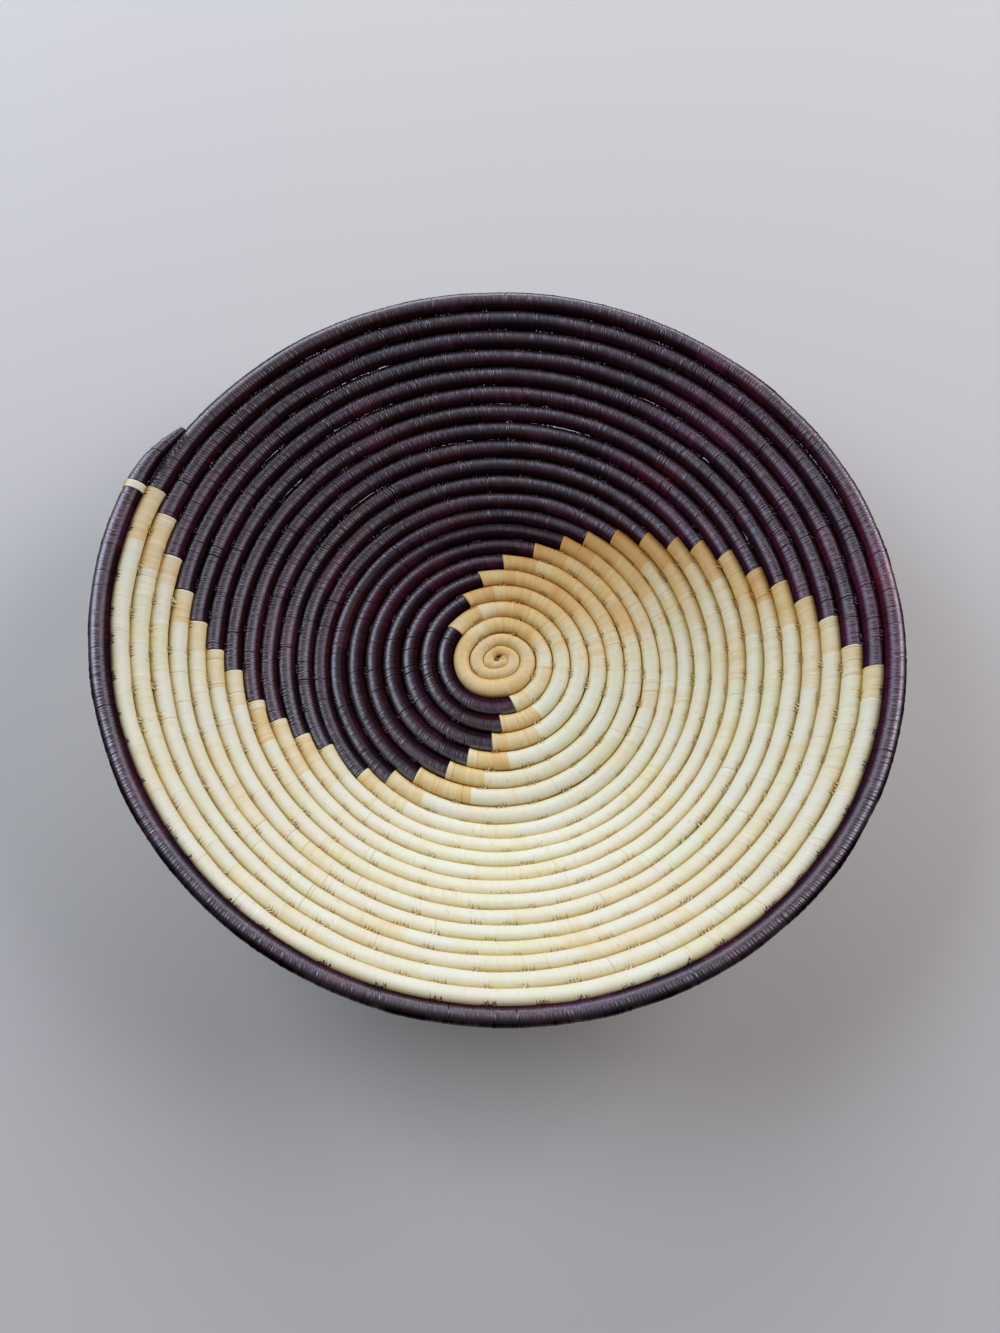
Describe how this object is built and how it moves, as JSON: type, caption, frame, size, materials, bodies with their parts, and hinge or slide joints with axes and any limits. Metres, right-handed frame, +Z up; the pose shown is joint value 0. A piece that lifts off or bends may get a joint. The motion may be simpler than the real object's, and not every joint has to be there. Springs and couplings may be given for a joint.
{
  "type": "coiled basket bowl",
  "caption": "Shallow round bowl of one coiled fibre bundle wrapped in raffia, flat base, flared wall, two-colour stepped swirl and dark rim.",
  "frame": {"origin": "under the middle of the bowl's box, on the plane that it stands on", "axes": "+Z up, out of the bowl's open side; the coil runs clockwise seen from above and its end lies on the rim at -X, +Y"},
  "size_m": [0.3148, 0.3116, 0.0678],
  "materials": {
    "natural_raffia": "dry pale straw raffia, faint satin sheen",
    "dyed_raffia": "very dark aubergine dyed raffia, satin",
    "core_fibre": "matt dry plant stalks"
  },
  "bodies": {
    "root": {"centre_wrap": "natural_raffia", "core_bundle": "core_fibre", "dark_wrap_01": "dyed_raffia", "dark_wrap_02": "dyed_raffia", "dark_wrap_03": "dyed_raffia", "dark_wrap_04": "dyed_raffia", "dark_wrap_05": "dyed_raffia", "dark_wrap_06": "dyed_raffia", "dark_wrap_07": "dyed_raffia", "dark_wrap_08": "dyed_raffia", "dark_wrap_09": "dyed_raffia", "dark_wrap_10": "dyed_raffia", "dark_wrap_11": "dyed_raffia", "dark_wrap_12": "dyed_raffia", "dark_wrap_13": "dyed_raffia", "dark_wrap_14": "dyed_raffia", "dark_wrap_15": "dyed_raffia", "dark_wrap_16": "dyed_raffia", "dark_wrap_17": "dyed_raffia", "dark_wrap_18": "dyed_raffia", "natural_wrap_01": "natural_raffia", "natural_wrap_02": "natural_raffia", "natural_wrap_03": "natural_raffia", "natural_wrap_04": "natural_raffia", "natural_wrap_05": "natural_raffia", "natural_wrap_06": "natural_raffia", "natural_wrap_07": "natural_raffia", "natural_wrap_08": "natural_raffia", "natural_wrap_09": "natural_raffia", "natural_wrap_10": "natural_raffia", "natural_wrap_11": "natural_raffia", "natural_wrap_12": "natural_raffia", "natural_wrap_13": "natural_raffia", "natural_wrap_14": "natural_raffia", "natural_wrap_15": "natural_raffia", "natural_wrap_16": "natural_raffia", "natural_wrap_17": "natural_raffia", "natural_wrap_18": "natural_raffia", "rim_tail_wrap": "dyed_raffia", "rim_tie": "natural_raffia", "rim_wrap": "dyed_raffia"}
  },
  "joints": []
}
